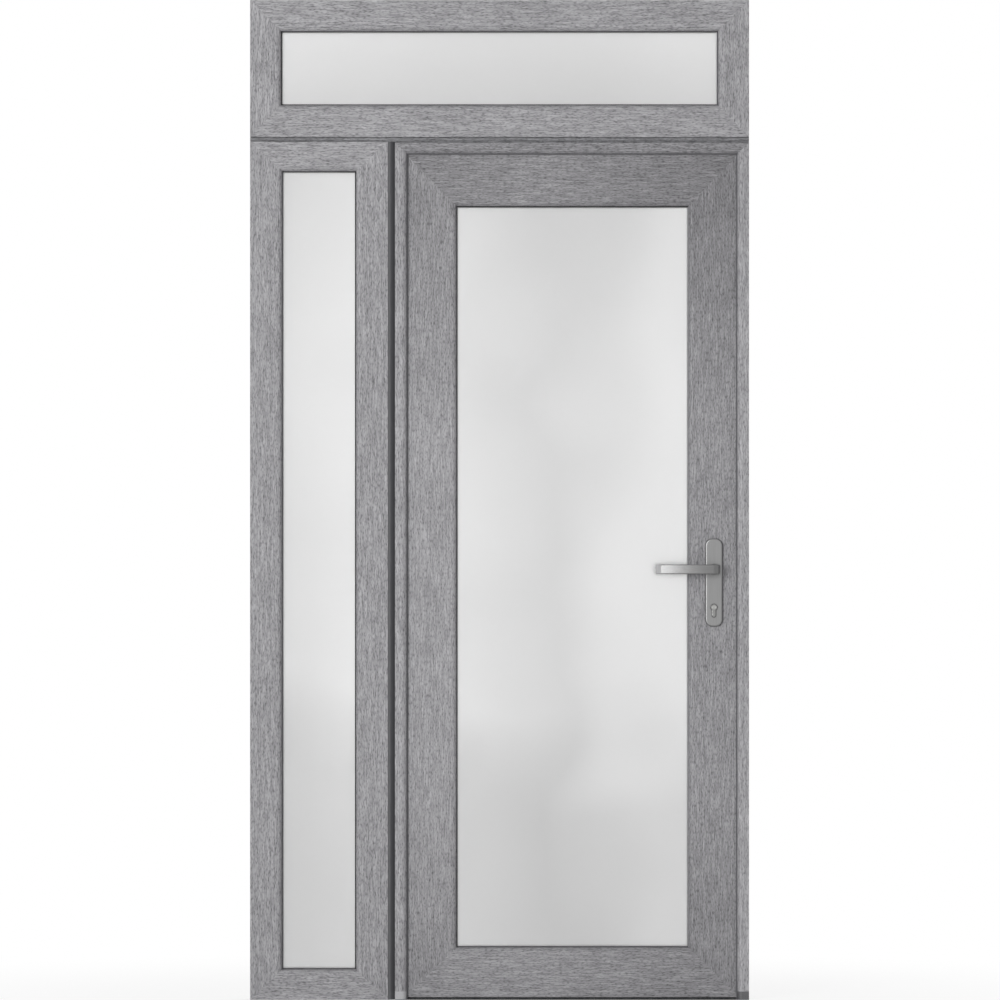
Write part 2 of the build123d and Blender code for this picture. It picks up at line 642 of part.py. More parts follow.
with BuildPart() as inner_backplate:
    mirror(outer_backplate.part, about=middle_plane)
    for height in SCREW_HEIGHTS:
        round_bar(HANDLE_X, height, SCREW_RADIUS, BACK, BACK + PLATE_THICKNESS, Mode.SUBTRACT)
write(inner_backplate.part, "inner_backplate")

with BuildPart() as handle_screws:
    screw_head = BACK + PLATE_THICKNESS
    for height in SCREW_HEIGHTS:
        round_bar(HANDLE_X, height, SCREW_RADIUS, LEAF_FRONT, screw_head)
        round_bar(HANDLE_X, height, SCREW_HEAD_RADIUS, screw_head, screw_head + SCREW_HEAD)
write(handle_screws.part, "handle_screws")

bar_front = PLATE_FRONT - LEVER_STANDOFF
bar_back = bar_front + LEVER_THICKNESS
collar_back = PLATE_FRONT - COLLAR_CLEARANCE
collar_front = collar_back - COLLAR_THICKNESS
hub_back = LEAF_FRONT - HUB_END_GAP
with BuildPart() as outer_lever:
    tip = HANDLE_X - LEVER_REACH
    facet_end = (tip + LEVER_FACET, bar_front + LEVER_BOW)
    neck_left = HANDLE_X - NECK_WIDTH / 2
    neck_right = HANDLE_X + NECK_WIDTH / 2
    tip_front = bar_front + LEVER_BOW + LEVER_FACET_DROP
    tip_back = bar_back + LEVER_BOW + LEVER_RETURN
    with BuildSketch(Plane.XY.offset(LEVER_HEIGHT - LEVER_DEPTH / 2)) as lever_plan:
        with BuildLine() as lever_line:
            bend_start = (neck_right - NECK_BEND, bar_front)
            bend_end = (neck_right, bar_front + NECK_BEND)
            inner_start = (neck_left, bar_back + NECK_INNER_BEND)
            inner_end = (neck_left - NECK_INNER_BEND, bar_back)
            back_tip = (tip + LEVER_THICKNESS, bar_back + LEVER_BOW)
            TangentArc(bend_start, facet_end, tangent=(-1, 0))
            Polyline(
                facet_end, (tip, tip_front), (tip, tip_back), (tip + LEVER_THICKNESS, tip_back), back_tip,
            )
            TangentArc(inner_end, back_tip, tangent=(-1, 0))
            TangentArc(inner_end, inner_start, tangent=(1, 0))
            Polyline(inner_start, (neck_left, collar_front), (neck_right, collar_front), bend_end)
            TangentArc(bend_end, bend_start, tangent=(0, -1))
        make_face(lever_line.edges())
    extrude(lever_plan.sketch, amount=LEVER_DEPTH)
    rims = outer_lever.faces().sort_by(Axis.Z)
    fillet(rims[0].edges() + rims[-1].edges(), LEVER_EDGE)
    round_bar(HANDLE_X, LEVER_HEIGHT, COLLAR_RADIUS, collar_front, collar_back)
    round_bar(HANDLE_X, LEVER_HEIGHT, HUB_RADIUS, collar_front, hub_back)
    socket = SPINDLE / 2 + SPINDLE_FIT
    slab((HANDLE_X - socket, LEVER_HEIGHT - socket, HANDLE_X + socket, LEVER_HEIGHT + socket),
         hub_back - SPINDLE_SOCKET, hub_back, Mode.SUBTRACT)
write(outer_lever.part, "outer_lever")

with BuildPart() as inner_lever:
    mirror(outer_lever.part, about=middle_plane)
write(inner_lever.part, "inner_lever")

with BuildPart() as spindle:
    half = SPINDLE / 2
    spindle_front = hub_back - SPINDLE_SOCKET
    slab((HANDLE_X - half, LEVER_HEIGHT - half, HANDLE_X + half, LEVER_HEIGHT + half),
         spindle_front, 2 * LEAF_MIDDLE - spindle_front)
write(spindle.part, "spindle")
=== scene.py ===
"""Looks of the exterior door: grained foil, etched glass, seals, metal fittings, screws, studio and camera."""

import math

import bmesh
import bpy
from mathutils import Matrix, Vector


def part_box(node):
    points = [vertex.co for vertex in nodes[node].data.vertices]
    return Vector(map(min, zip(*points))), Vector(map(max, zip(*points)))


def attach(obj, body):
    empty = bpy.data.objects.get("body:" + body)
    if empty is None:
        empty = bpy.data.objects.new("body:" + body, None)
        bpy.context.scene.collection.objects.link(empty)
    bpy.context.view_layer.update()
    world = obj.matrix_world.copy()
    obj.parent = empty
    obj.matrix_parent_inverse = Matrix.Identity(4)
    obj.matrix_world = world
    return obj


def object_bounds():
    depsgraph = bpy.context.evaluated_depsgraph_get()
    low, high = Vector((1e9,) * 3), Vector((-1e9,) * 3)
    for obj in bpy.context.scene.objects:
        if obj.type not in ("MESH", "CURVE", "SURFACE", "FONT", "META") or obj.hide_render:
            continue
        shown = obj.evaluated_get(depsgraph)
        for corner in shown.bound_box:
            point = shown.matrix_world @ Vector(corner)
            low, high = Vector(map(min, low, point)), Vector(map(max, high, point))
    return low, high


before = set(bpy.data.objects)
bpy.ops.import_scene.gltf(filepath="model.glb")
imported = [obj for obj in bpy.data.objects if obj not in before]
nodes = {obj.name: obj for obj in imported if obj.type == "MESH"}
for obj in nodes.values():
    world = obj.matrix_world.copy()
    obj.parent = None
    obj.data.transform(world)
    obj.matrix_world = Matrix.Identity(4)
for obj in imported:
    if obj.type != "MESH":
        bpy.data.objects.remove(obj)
cad_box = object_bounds()

MM = 0.001
X_AXIS, Z_AXIS = 0, 2

# Grain of the foil, as printed and embossed
STREAK_WIDTH = 2.8 * MM
STREAK_LENGTH = 36.0 * MM
PORE_WIDTH = 2.2 * MM
PORE_LENGTH = 9.0 * MM
DRIFT_LENGTH = 90.0 * MM
DRIFT = 0.6 * MM
CLOUD_SIZE = 180.0 * MM
CLOUD_SHARE = 0.15
GRAIN_DEPTH = 0.15 * MM

# Pores: where in their noise they start and are full, and how far down they take the print
PORE_START = 0.48
PORE_FULL = 0.72
PORE_DROP = -0.4

# Print: the depth that has the foil's own tone, how far below and above it the ink goes, and how light it gets
INK_MIDDLE = 0.52
INK_BELOW = 0.5
INK_ABOVE = 0.4
INK_LIGHT = 0.37

# Foil tones: the outer frames have the foil's own tone. The jambs and hinge stile are drawn a little lighter
# and the head, lock stile and rails darker, as painted light and shade, and the jambs, head and bars of the
# door darken towards their ends as painted shade: where from the pane's middle the bar is lightest, how far
# from there the darkening starts and stops, and by how many levels
FRAME_TONE = "#9b9a9d"
JAMB_LIT_TONE = "#a1a0a3"
HEAD_SHADED_TONE = "#868588"
HINGE_STILE_LIT_TONE = "#9f9ea1"
LOCK_STILE_SHADED_TONE = "#929194"
TOP_RAIL_SHADED_TONE = "#8a898c"
BOTTOM_RAIL_SHADED_TONE = "#979699"
JAMB_PAINTED_SHADE = (-100 * MM, 750 * MM, 1050 * MM, 10)
HEAD_PAINTED_SHADE = (0 * MM, 200 * MM, 430 * MM, 8)
STILE_PAINTED_SHADE = (-100 * MM, 450 * MM, 1030 * MM, 23)
TOP_RAIL_PAINTED_SHADE = (-80 * MM, 50 * MM, 450 * MM, 22)
BOTTOM_RAIL_PAINTED_SHADE = (-200 * MM, 100 * MM, 600 * MM, 20)
LEVELS_PER_DEPTH = 122

# Finer surfaces: etched glass, brushed metal, stippled plastic, rubber and brush pile
# Glass clouds of painted light and shade: their size, and how far they shift the painted shade and the painted
# reflection
PAINTED_CLOUD_SIZE = 420.0 * MM
PAINTED_CLOUD_SHADE_SHARE = 0.25
PAINTED_CLOUD_REFLECTION_SHARE = 1.0
ETCH_SIZE = 1.5 * MM
ETCH_DEPTH = 0.02 * MM
BRUSH_LENGTH = 60.0 * MM
BRUSH_WIDTH = 0.8 * MM
BRUSH_DEPTH = 0.03 * MM
STIPPLE_SIZE = 3.0 * MM
STIPPLE_DEPTH = 0.05 * MM
BLOOM_SIZE = 12.0 * MM
THREAD_LENGTH = 30.0 * MM
THREAD_WIDTH = 0.8 * MM
THREAD_DEPTH = 0.4 * MM

# The lever's bent tip is drawn brighter than the rest, a painted highlight
TIP_LENGTH = 12.8 * MM

# The plug fills this share of the cylinder's round part
PLUG_SHARE = 0.6

# Screws in the hinges, strikes, lock edge and threshold
SCREW_RADIUS = 3.6 * MM
SCREW_RISE = 0.5 * MM
SCREW_RIM = 0.15 * MM
CROSS_REACH = 2.0 * MM
CROSS_HALF = 0.55 * MM
CROSS_DEPTH = 0.35 * MM
SCREW_SIDES = 24

# Where the screws sit
HINGE_SCREW_RISES = (-36.0 * MM, -12.0 * MM, 12.0 * MM, 36.0 * MM)
HINGE_SCREW_DEPTHS = (9.0 * MM, 21.0 * MM)
STRIKE_SCREW_INSET = 7.0 * MM
FACEPLATE_SCREW_SHARES = (0.012, 0.2, 0.36, 0.6, 0.8, 0.988)
THRESHOLD_SCREWS = 4
THRESHOLD_SCREW_INSET = 120.0 * MM
THRESHOLD_SCREW_Y = 25.0 * MM

# Lights: irradiance shares of a white wall that faces them
AMBIENT = 0.28
KEY_DIRECTION = (-0.46, -1.0, 0.16)
KEY_DISTANCE = 14.0
KEY_SIZE = 5.4
KEY_SHARE = 0.5
BACK_DIRECTION = (0.45, 0.8, 0.9)
BACK_DISTANCE = 12.0
BACK_SIZE = 7.0
BACK_SHARE = 0.55

# Floor: shows the shadow close to the object and turns white further out
FLOOR_REACH = 200.0
FLOOR_TONE = "#f4f4f4"
FLOOR_GLOW = 0.8
SHADOW_NEAR = 0.5
SHADOW_FAR = 2.2

# The picture is as wide as the object is tall
LENS = 300.0
SENSOR = 36.0
FAR_CLIP = 500.0
AIM_X = 1.0 * MM


def colour(code, lift=0):
    """Linear colour of an sRGB hex code, with lift added to each of its levels."""
    levels = [int(code[i:i + 2], 16) + lift for i in (1, 3, 5)]
    shares = [min(max(level / 255, 0.0), 1.0) for level in levels]
    return [s / 12.92 if s <= 0.04045 else ((s + 0.055) / 1.055) ** 2.4 for s in shares] + [1.0]


def add_node(tree, kind, links, stops=(), **settings):
    """Adds a node. Links gives an input its value or the output that feeds it, stops a ramp's colours."""
    node = tree.nodes.new(kind)
    for key, value in settings.items():
        setattr(node, key, value)
    for key, value in links.items():
        if isinstance(value, bpy.types.NodeSocket):
            tree.links.new(value, node.inputs[key])
        else:
            node.inputs[key].default_value = value
    for i, (place, shade) in enumerate(stops):
        stop = node.color_ramp.elements[i] if i < 2 else node.color_ramp.elements.new(place)
        stop.position = place
        stop.color = shade
    return node


def new_material(name, **sockets):
    """A new material, its node tree and its surface shader with these plain socket values."""
    material = bpy.data.materials.new(name)
    material.use_nodes = True
    tree = material.node_tree
    tree.nodes.clear()
    skin = add_node(tree, "ShaderNodeBsdfPrincipled",
                    {key.replace("_", " "): value for key, value in sockets.items()})
    add_node(tree, "ShaderNodeOutputMaterial", {"Surface": skin.outputs["BSDF"]})
    return material, tree, skin


def streaked(axis, length, width):
    """Counts per metre of streaks that are long on one axis and narrow on the other two."""
    return [1 / (length if i == axis else width) for i in range(3)]


def embossed_foil(name, axis, tone, middle=0.0, painted_end_shade=None):
    """Hard PVC wrapped in grey printed foil: matt, short wavy streaks, fine dark pores, a shallow emboss, and,
    when an end shade is given, painted shade that darkens it towards its ends.
    """
    material, tree, skin = new_material(name, IOR=1.5)
    place = add_node(tree, "ShaderNodeTexCoord", {}).outputs["Object"]
    drift = add_node(tree, "ShaderNodeTexNoise", {
        "Vector": place, "Scale": 1 / DRIFT_LENGTH, "Detail": 1.0})
    bent = add_node(tree, "ShaderNodeVectorMath", {0: drift.outputs["Color"], 1: [DRIFT] * 3, 2: place},
                    operation="MULTIPLY_ADD").outputs["Vector"]
    along = add_node(tree, "ShaderNodeMapping", {
        "Vector": bent, "Scale": streaked(axis, STREAK_LENGTH, STREAK_WIDTH)}).outputs["Vector"]
    streaks = add_node(tree, "ShaderNodeTexNoise", {
        "Vector": along, "Scale": 1.0, "Detail": 2.0, "Roughness": 0.6}).outputs["Fac"]
    finer = add_node(tree, "ShaderNodeMapping", {
        "Vector": bent, "Scale": streaked(axis, PORE_LENGTH, PORE_WIDTH)}).outputs["Vector"]
    pores = add_node(tree, "ShaderNodeTexNoise", {
        "Vector": finer, "Scale": 1.0, "Detail": 1.0}).outputs["Fac"]
    pits = add_node(tree, "ShaderNodeMapRange", {
        "Value": pores, "From Min": PORE_START, "From Max": PORE_FULL, "To Min": 0.0,
        "To Max": PORE_DROP}).outputs["Result"]
    clouds = add_node(tree, "ShaderNodeTexNoise", {
        "Vector": place, "Scale": 1 / CLOUD_SIZE, "Detail": 2.0}).outputs["Fac"]
    grain = add_node(tree, "ShaderNodeMath", {0: streaks, 1: pits}, operation="ADD").outputs["Value"]
    depth = add_node(tree, "ShaderNodeMath", {0: clouds, 1: CLOUD_SHARE, 2: grain},
                     operation="MULTIPLY_ADD").outputs["Value"]
    if painted_end_shade:
        shift, start, stop, drop = painted_end_shade
        # Painted shade: darker by up to drop levels from start to stop away from the bar's middle
        lengthwise = add_node(tree, "ShaderNodeSeparateXYZ", {"Vector": place}).outputs[axis]
        off = add_node(tree, "ShaderNodeMath", {0: lengthwise, 1: middle + shift},
                       operation="SUBTRACT").outputs["Value"]
        far = add_node(tree, "ShaderNodeMath", {0: off}, operation="ABSOLUTE").outputs["Value"]
        end_darkening = add_node(tree, "ShaderNodeMapRange", {
            "Value": far, "From Min": start, "From Max": stop, "To Min": 0.0,
            "To Max": -drop / LEVELS_PER_DEPTH}).outputs["Result"]
        depth = add_node(tree, "ShaderNodeMath", {0: depth, 1: end_darkening}, operation="ADD").outputs["Value"]
    print_ink = add_node(tree, "ShaderNodeValToRGB", {"Fac": depth}, stops=[
        (INK_MIDDLE - INK_BELOW, colour(tone, -INK_BELOW * LEVELS_PER_DEPTH)), (INK_MIDDLE, colour(tone)),
        (INK_MIDDLE + INK_ABOVE, colour(tone, INK_LIGHT * LEVELS_PER_DEPTH))])
    tree.links.new(print_ink.outputs["Color"], skin.inputs["Base Color"])
    gloss = add_node(tree, "ShaderNodeMapRange", {"Value": streaks, "To Min": 0.64, "To Max": 0.46})
    tree.links.new(gloss.outputs["Result"], skin.inputs["Roughness"])
    emboss = add_node(tree, "ShaderNodeBump", {"Height": grain, "Strength": 0.5, "Distance": GRAIN_DEPTH})
    tree.links.new(emboss.outputs["Normal"], skin.inputs["Normal"])
    return material


def extruded_rubber(name, dark, light):
    """Extruded EPDM: dark, dull, with a faint bloom along its length."""
    material, tree, skin = new_material(name, IOR=1.5)
    place = add_node(tree, "ShaderNodeTexCoord", {}).outputs["Object"]
    bloom = add_node(tree, "ShaderNodeTexNoise", {
        "Vector": place, "Scale": 1 / BLOOM_SIZE, "Detail": 3.0}).outputs["Fac"]
    tone = add_node(tree, "ShaderNodeValToRGB", {"Fac": bloom}, stops=[
        (0.3, colour(dark)), (0.75, colour(light))])
    tree.links.new(tone.outputs["Color"], skin.inputs["Base Color"])
    dull = add_node(tree, "ShaderNodeMapRange", {"Value": bloom, "To Min": 0.6, "To Max": 0.8})
    tree.links.new(dull.outputs["Result"], skin.inputs["Roughness"])
    return material


def etched_glass(name, node, shade_upward_stops, reflection_across_stops):
    """Float glass etched to a satin face: pale and softly see-through, with painted clouds of light and shade,
    painted shade darker low in the pane and painted reflection bands across it.
    """
    material, tree, skin = new_material(name, IOR=1.52, Roughness=0.3, Transmission_Weight=1.0)
    low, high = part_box(node)
    place = add_node(tree, "ShaderNodeTexCoord", {}).outputs["Object"]
    part = add_node(tree, "ShaderNodeSeparateXYZ", {"Vector": place})
    share = add_node(tree, "ShaderNodeMapRange", {
        "Value": part.outputs["Z"], "From Min": low.z, "From Max": high.z}).outputs["Result"]
    beside = add_node(tree, "ShaderNodeMapRange", {
        "Value": part.outputs["X"], "From Min": low.x, "From Max": high.x}).outputs["Result"]
    # Painted clouds of light and shade, painted shade from the pane's bottom to its top, and painted
    # reflection from its left to its right
    clouds = add_node(tree, "ShaderNodeTexNoise", {
        "Vector": place, "Scale": 1 / PAINTED_CLOUD_SIZE, "Detail": 1.0}).outputs["Fac"]
    shift = add_node(tree, "ShaderNodeMath", {0: clouds, 1: 0.5}, operation="SUBTRACT").outputs["Value"]
    shade_clouded = add_node(tree, "ShaderNodeMath", {0: shift, 1: PAINTED_CLOUD_SHADE_SHARE, 2: share},
                       operation="MULTIPLY_ADD").outputs["Value"]
    tone = add_node(tree, "ShaderNodeValToRGB", {"Fac": shade_clouded}, stops=shade_upward_stops)
    reflection_clouded = add_node(tree, "ShaderNodeMath", {0: shift, 1: PAINTED_CLOUD_REFLECTION_SHARE, 2: beside},
                      operation="MULTIPLY_ADD").outputs["Value"]
    painted_reflection = add_node(tree, "ShaderNodeValToRGB", {"Fac": reflection_clouded}, stops=reflection_across_stops)
    tint = add_node(tree, "ShaderNodeVectorMath", {0: tone.outputs["Color"], 1: painted_reflection.outputs["Color"]},
                    operation="MULTIPLY")
    tree.links.new(tint.outputs["Vector"], skin.inputs["Base Color"])
    etch = add_node(tree, "ShaderNodeTexNoise", {
        "Vector": place, "Scale": 1 / ETCH_SIZE, "Detail": 1.0}).outputs["Fac"]
    relief = add_node(tree, "ShaderNodeBump", {"Height": etch, "Strength": 0.1, "Distance": ETCH_DEPTH})
    tree.links.new(relief.outputs["Normal"], skin.inputs["Normal"])
    return material


def brushed_metal(name, axis, dark, light, roughness):
    """A satin metal with fine brush lines along one axis, drawn coarser than they are so that they show."""
    material, tree, skin = new_material(name, Metallic=1.0)
    place = add_node(tree, "ShaderNodeTexCoord", {}).outputs["Object"]
    along = add_node(tree, "ShaderNodeMapping", {
        "Vector": place, "Scale": streaked(axis, BRUSH_LENGTH, BRUSH_WIDTH)}).outputs["Vector"]
    lines = add_node(tree, "ShaderNodeTexNoise", {
        "Vector": along, "Scale": 1.0, "Detail": 3.0}).outputs["Fac"]
    tone = add_node(tree, "ShaderNodeValToRGB", {"Fac": lines}, stops=[
        (0.25, colour(dark)), (0.75, colour(light))])
    tree.links.new(tone.outputs["Color"], skin.inputs["Base Color"])
    satin = add_node(tree, "ShaderNodeMapRange", {
        "Value": lines, "To Min": roughness + 0.06, "To Max": roughness - 0.06})
    tree.links.new(satin.outputs["Result"], skin.inputs["Roughness"])
    scratch = add_node(tree, "ShaderNodeBump", {"Height": lines, "Strength": 0.15, "Distance": BRUSH_DEPTH})
    tree.links.new(scratch.outputs["Normal"], skin.inputs["Normal"])
    return material


def moulded_plastic(name, dark, light, roughness):
    """Moulded ABS: even, lightly stippled, semi-matt."""
    material, tree, skin = new_material(name, IOR=1.5)
    place = add_node(tree, "ShaderNodeTexCoord", {}).outputs["Object"]
    stipple = add_node(tree, "ShaderNodeTexNoise", {
        "Vector": place, "Scale": 1 / STIPPLE_SIZE, "Detail": 3.0}).outputs["Fac"]
    tone = add_node(tree, "ShaderNodeValToRGB", {"Fac": stipple}, stops=[
        (0.25, colour(dark)), (0.75, colour(light))])
    tree.links.new(tone.outputs["Color"], skin.inputs["Base Color"])
    dull = add_node(tree, "ShaderNodeMapRange", {
        "Value": stipple, "To Min": roughness - 0.05, "To Max": roughness + 0.05})
    tree.links.new(dull.outputs["Result"], skin.inputs["Roughness"])
    relief = add_node(tree, "ShaderNodeBump", {"Height": stipple, "Strength": 0.2, "Distance": STIPPLE_DEPTH})
    tree.links.new(relief.outputs["Normal"], skin.inputs["Normal"])
    return material


def shade_painted_filler(name, node, stops):
    """Foil-covered PVC filler: upright grain, with painted shade, lighter on its left and dark on its right.
    """
    material, tree, skin = new_material(name, IOR=1.5, Roughness=0.6)
    low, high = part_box(node)
    place = add_node(tree, "ShaderNodeTexCoord", {}).outputs["Object"]
    side = add_node(tree, "ShaderNodeSeparateXYZ", {"Vector": place}).outputs["X"]
    share = add_node(tree, "ShaderNodeMapRange", {
        "Value": side, "From Min": low.x, "From Max": high.x}).outputs["Result"]
    along = add_node(tree, "ShaderNodeMapping", {
        "Vector": place, "Scale": streaked(Z_AXIS, STREAK_LENGTH, STREAK_WIDTH)}).outputs["Vector"]
    streaks = add_node(tree, "ShaderNodeTexNoise", {
        "Vector": along, "Scale": 1.0, "Detail": 2.0}).outputs["Fac"]
    grained = add_node(tree, "ShaderNodeMath", {0: streaks, 1: 0.3, 2: share},
                       operation="MULTIPLY_ADD").outputs["Value"]
    tone = add_node(tree, "ShaderNodeValToRGB", {"Fac": grained}, stops=stops)
    tree.links.new(tone.outputs["Color"], skin.inputs["Base Color"])
    return material


def nylon_pile(name):
    """Nylon brush pile: grey upright threads, drawn coarser than they are so that they show."""
    material, tree, skin = new_material(name, IOR=1.53, Roughness=0.85)
    place = add_node(tree, "ShaderNodeTexCoord", {}).outputs["Object"]
    along = add_node(tree, "ShaderNodeMapping", {
        "Vector": place, "Scale": streaked(Z_AXIS, THREAD_LENGTH, THREAD_WIDTH)}).outputs["Vector"]
    threads = add_node(tree, "ShaderNodeTexNoise", {
        "Vector": along, "Scale": 1.0, "Detail": 2.0}).outputs["Fac"]
    tone = add_node(tree, "ShaderNodeValToRGB", {"Fac": threads}, stops=[
        (0.3, colour("#606062")), (0.7, colour("#8a8a8d"))])
    tree.links.new(tone.outputs["Color"], skin.inputs["Base Color"])
    tuft = add_node(tree, "ShaderNodeBump", {"Height": threads, "Strength": 0.6, "Distance": THREAD_DEPTH})
    tree.links.new(tuft.outputs["Normal"], skin.inputs["Normal"])
    return material


def dress(names, material):
    """Gives CAD nodes one material."""
    for name in names:
        nodes[name].data.materials.clear()
        nodes[name].data.materials.append(material)


def dress_ring(name, *strips):
    """Gives the left, right, top and bottom strip of a ring a material each."""
    low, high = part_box(name)
    mesh = nodes[name].data
    mesh.materials.clear()
    for material in strips:
        mesh.materials.append(material)
    for face in mesh.polygons:
        place = face.center
        gaps = (place.x - low.x, high.x - place.x, high.z - place.z, place.z - low.z)
        face.material_index = gaps.index(min(gaps))


def dress_faces(name, material, other, chosen):
    """Gives a CAD node one material, and another to the faces that are chosen."""
    mesh = nodes[name].data
    mesh.materials.clear()
    mesh.materials.append(material)
    mesh.materials.append(other)
    for face in mesh.polygons:
        face.material_index = 1 if chosen(face) else 0


# Foil on the bars, level or upright, with painted light and shade on the jambs, head and bars of the door
leaf_low, leaf_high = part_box("leaf_glass")
leaf_x, leaf_z = (leaf_low.x + leaf_high.x) / 2, (leaf_low.z + leaf_high.z) / 2
frame_level = embossed_foil("embossed_pvc_foil_frame_level", X_AXIS, FRAME_TONE)
frame_upright = embossed_foil("embossed_pvc_foil_frame_upright", Z_AXIS, FRAME_TONE)
rail_foil = embossed_foil("embossed_pvc_foil_top_rail", X_AXIS, TOP_RAIL_SHADED_TONE, leaf_x, TOP_RAIL_PAINTED_SHADE)
lock_stile_foil = embossed_foil("embossed_pvc_foil_lock_stile", Z_AXIS, LOCK_STILE_SHADED_TONE, leaf_z, STILE_PAINTED_SHADE)
dress(["transom_top_bar", "transom_bottom_bar", "sidelight_top_bar", "sidelight_bottom_bar"], frame_level)
dress(["transom_left_bar", "transom_right_bar", "sidelight_left_bar", "sidelight_right_bar"], frame_upright)
dress(["hinge_jamb", "lock_jamb"],
      embossed_foil("embossed_pvc_foil_jambs", Z_AXIS, JAMB_LIT_TONE, leaf_z, JAMB_PAINTED_SHADE))
dress(["door_head"], embossed_foil("embossed_pvc_foil_head", X_AXIS, HEAD_SHADED_TONE, leaf_x, HEAD_PAINTED_SHADE))
dress(["hinge_stile"],
      embossed_foil("embossed_pvc_foil_hinge_stile", Z_AXIS, HINGE_STILE_LIT_TONE, leaf_z, STILE_PAINTED_SHADE))
dress(["lock_stile"], lock_stile_foil)
dress(["leaf_top_rail"], rail_foil)
dress(["leaf_bottom_rail"],
      embossed_foil("embossed_pvc_foil_bottom_rail", X_AXIS, BOTTOM_RAIL_SHADED_TONE, leaf_x,
                    BOTTOM_RAIL_PAINTED_SHADE))
for ring in ("transom_beads", "sidelight_beads"):
    dress_ring(ring, frame_upright, frame_upright, frame_level, frame_level)
dress_ring("leaf_beads", lock_stile_foil, lock_stile_foil, rail_foil, rail_foil)

# Glass: painted shade from the bottom of each pane to its top, mostly darker low, and a painted reflection
# over it from its left to its right
dress(["transom_glass"], etched_glass("etched_glass_transom", "transom_glass", [
    (0.0, colour("#e6e6e6")), (1.0, colour("#f0f0f0"))], [
    (0.0, colour("#ffffff")), (0.6, colour("#fbfbfb")), (1.0, colour("#ffffff"))]))
dress(["sidelight_glass"], etched_glass("etched_glass_sidelight", "sidelight_glass", [
    (0.0, colour("#eaeaea")), (0.29, colour("#eaeaea")), (0.37, colour("#f4f4f4")),
    (0.8, colour("#f5f5f5")), (1.0, colour("#eeeeee"))], [
    (0.0, colour("#f7f7f7")), (1.0, colour("#ffffff"))]))
dress(["leaf_glass"], etched_glass("etched_glass_leaf", "leaf_glass", [
    (0.0, colour("#e9e9e9")), (0.2, colour("#e9e9e9")), (0.3, colour("#f3f3f3")),
    (0.76, colour("#f4f4f4")), (1.0, colour("#eeeeee"))], [
    (0.0, colour("#fdfdfd")), (0.45, colour("#f5f5f5")), (0.85, colour("#ffffff"))]))

# Seals, fillers and feet
rubber = extruded_rubber("extruded_epdm", "#555558", "#67676a")
# Darker and lighter copies of the rubber: painted shade on one side of a gasket ring and painted light on
# another
painted_shade_rubber = extruded_rubber("extruded_epdm_shaded_side", "#1e1e20", "#2c2c2e")
painted_light_rubber = extruded_rubber("extruded_epdm_lit_side", "#88888b", "#98989b")
dress(["transom_gaskets", "stop_seal"], rubber)
dress_ring("sidelight_gaskets", painted_light_rubber, painted_shade_rubber, rubber, rubber)
dress_ring("leaf_gaskets", rubber, painted_light_rubber, painted_shade_rubber, rubber)
dress(["bottom_brush"], nylon_pile("nylon_brush_pile"))
# The upright filler gets painted shade: light at its left, dark at its right as in a recess
dress(["upright_coupler"], shade_painted_filler("foil_covered_pvc_filler_painted_shade", "upright_coupler", [
    (0.25, colour("#88888a")), (0.58, colour("#58585b")), (1.0, colour("#454548"))]))
# The level filler's foil is drawn darker than the frames', as painted shade of its recess
dress(["level_coupler"], embossed_foil("embossed_pvc_foil_filler", X_AXIS, "#737376"))
# One plastic in two copies: the left foot drawn light as painted light, the right foot dark as painted shade
painted_light_foot = moulded_plastic("moulded_abs_lit_side", "#b2b2b4", "#bdbdbf", 0.45)
painted_shade_foot = moulded_plastic("moulded_abs_shaded_side", "#545456", "#5f5f62", 0.45)
dress_faces("jamb_feet", painted_light_foot, painted_shade_foot, lambda face: face.center.x > leaf_x)

# Metal
lever_metal = brushed_metal("satin_nickel_lever", X_AXIS, "#696969", "#7b7b7b", 0.31)
# The tip's metal is a brighter copy: a painted highlight
tip_highlight_metal = brushed_metal("nickel_tip_painted_highlight", Z_AXIS, "#8c8c8d", "#9a9a9b", 0.3)
for lever in ("outer_lever", "inner_lever"):
    tip_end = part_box(lever)[0].x + TIP_LENGTH
    dress_faces(lever, lever_metal, tip_highlight_metal, lambda face: face.center.x < tip_end)
dress(["outer_backplate", "inner_backplate"],
      brushed_metal("satin_nickel_upright", Z_AXIS, "#7d7d7d", "#898989", 0.36))
low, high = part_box("lock_cylinder")
barrel = (high.x - low.x) / 2
plug_middle = Vector(((low.x + high.x) / 2, 0, high.z - barrel))
plug = PLUG_SHARE * barrel
dress_faces("lock_cylinder", brushed_metal("nickel_plated_brass", Z_AXIS, "#7d7d7c", "#8b8b8a", 0.3),
            brushed_metal("polished_nickel_plug", X_AXIS, "#a4a4a2", "#b4b4b2", 0.2),
            lambda face: (Vector((face.center.x, 0, face.center.z)) - plug_middle).length < plug)
zinc = brushed_metal("zinc_plated_steel", Z_AXIS, "#97989b", "#b4b5b8", 0.3)
dress(["hinge_frame_plates", "hinge_leaf_plates", "hinge_pins", "lock_faceplate", "lock_bolts",
       "strike_plates", "handle_screws", "spindle"], zinc)
dress(["threshold"], brushed_metal("dark_anodised_aluminium", X_AXIS, "#4e4e50", "#5c5c5e", 0.4))
dress(["transom_spacer", "sidelight_spacer", "leaf_spacer"],
      brushed_metal("mill_aluminium_spacer", X_AXIS, "#9c9da0", "#b2b3b6", 0.4))


